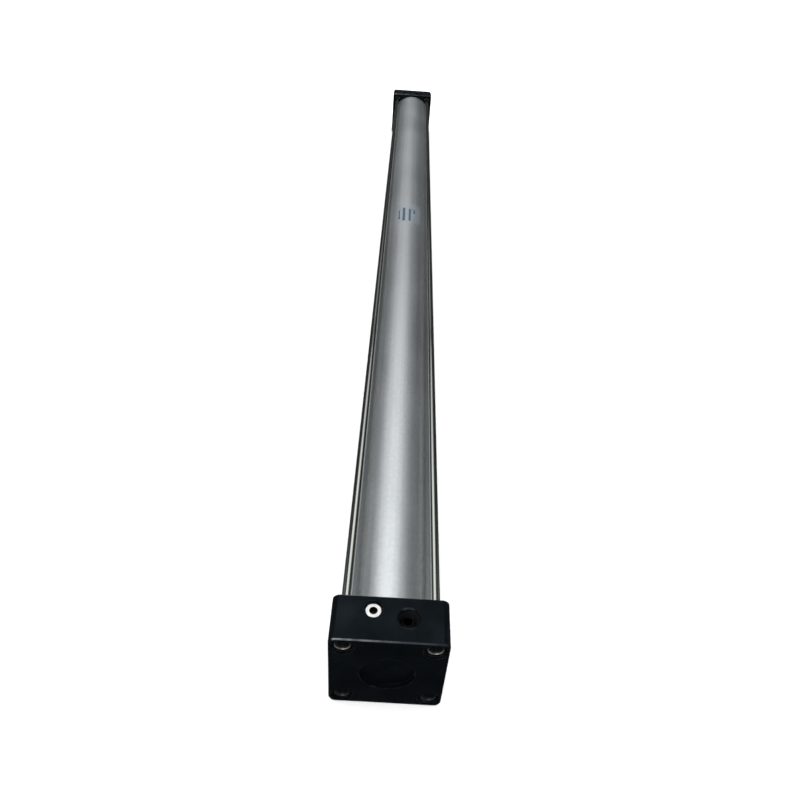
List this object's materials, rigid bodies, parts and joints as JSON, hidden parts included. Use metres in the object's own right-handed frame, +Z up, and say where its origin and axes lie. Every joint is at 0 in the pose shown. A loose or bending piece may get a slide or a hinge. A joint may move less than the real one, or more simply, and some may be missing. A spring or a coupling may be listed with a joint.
{
  "type": "pneumatic cylinder",
  "caption": "Long-stroke double-acting pneumatic cylinder with square black end caps, round anodised barrel, polished tie rods, air ports and adjustable end cushioning.",
  "frame": {"origin": "centre of the rear cap's end face, on the cylinder's axis", "axes": "+X along the axis from the rear cap to the rod's tip, +Z up through the sides with the air ports, +Y to the left when looking along +X"},
  "size_m": [1.614, 0.094, 0.094],
  "materials": {
    "cap_anodised": "black anodised, satin",
    "tube_anodised": "clear anodised, satin, drawn grain along the axis",
    "tie_rod_steel": "polished steel",
    "nut_steel": "dark zinc plated steel",
    "needle_steel": "bright nickel plated, turned",
    "rod_chrome": "hard chromed and ground",
    "lock_nut_zinc": "bright zinc plated",
    "bush_bronze": "sintered bronze",
    "ring_steel": "phosphated spring steel",
    "seal_rubber": "nitrile rubber",
    "seal_urethane": "polyurethane",
    "guide_plastic": "acetal",
    "magnet_compound": "bonded ferrite",
    "piston_aluminium": "turned",
    "label_film": "silver film with plain dark bars"
  },
  "bodies": {
    "barrel": {"rear_cap": "cap_anodised", "front_cap": "cap_anodised", "barrel_tube": "tube_anodised", "tie_rod_upper_left": "tie_rod_steel", "tie_rod_upper_right": "tie_rod_steel", "tie_rod_lower_left": "tie_rod_steel", "tie_rod_lower_right": "tie_rod_steel", "rear_tie_rod_nuts": "nut_steel", "front_tie_rod_nuts": "nut_steel", "rear_tube_oring": "seal_rubber", "front_tube_oring": "seal_rubber", "rear_cushion_seal": "seal_urethane", "front_cushion_seal": "seal_urethane", "rod_bush": "bush_bronze", "rod_seal": "seal_urethane", "retaining_ring": "ring_steel", "label": "label_film"},
    "piston_carrier": {"guide_ring": "guide_plastic", "rear_lip_seal": "seal_urethane", "front_lip_seal": "seal_urethane"},
    "rod": {"piston_rod": "rod_chrome", "piston_rear_half": "piston_aluminium", "piston_front_half": "piston_aluminium", "piston_oring": "seal_rubber", "magnet_ring": "magnet_compound", "rear_cushion_sleeve": "piston_aluminium", "front_cushion_sleeve": "piston_aluminium", "piston_nut": "lock_nut_zinc", "rod_lock_nut": "lock_nut_zinc"},
    "rear_needle_ring": {"rear_needle_oring": "seal_rubber"},
    "rear_needle": {"rear_cushion_needle": "needle_steel"},
    "front_needle_ring": {"front_needle_oring": "seal_rubber"},
    "front_needle": {"front_cushion_needle": "needle_steel"}
  },
  "joints": [
    {"name": "rod_slide", "type": "slide", "parent": "barrel", "child": "piston_carrier", "axis": [1, 0, 0], "range_m": [0, 1.4]},
    {"name": "rod_turn", "type": "hinge", "parent": "piston_carrier", "child": "rod", "pos_m": [0.064, 0, 0], "axis": [1, 0, 0], "continuous": true},
    {"name": "rear_needle_lift", "type": "slide", "parent": "barrel", "child": "rear_needle_ring", "axis": [0, 0, 1], "range_m": [0, 0.002]},
    {"name": "rear_needle_turn", "type": "hinge", "parent": "rear_needle_ring", "child": "rear_needle", "pos_m": [0.028, 0.0138, 0.04], "axis": [0, 0, 1], "range_deg": [0, 720]},
    {"name": "front_needle_lift", "type": "slide", "parent": "barrel", "child": "front_needle_ring", "axis": [0, 0, 1], "range_m": [0, 0.002]},
    {"name": "front_needle_turn", "type": "hinge", "parent": "front_needle_ring", "child": "front_needle", "pos_m": [1.5, 0.0138, 0.04], "axis": [0, 0, 1], "range_deg": [0, 720]}
  ],
  "couplings": [
    {"joint": "rear_needle_lift", "follows": "rear_needle_turn", "m_per_rad": 0.00015915},
    {"joint": "front_needle_lift", "follows": "front_needle_turn", "m_per_rad": 0.00015915}
  ]
}
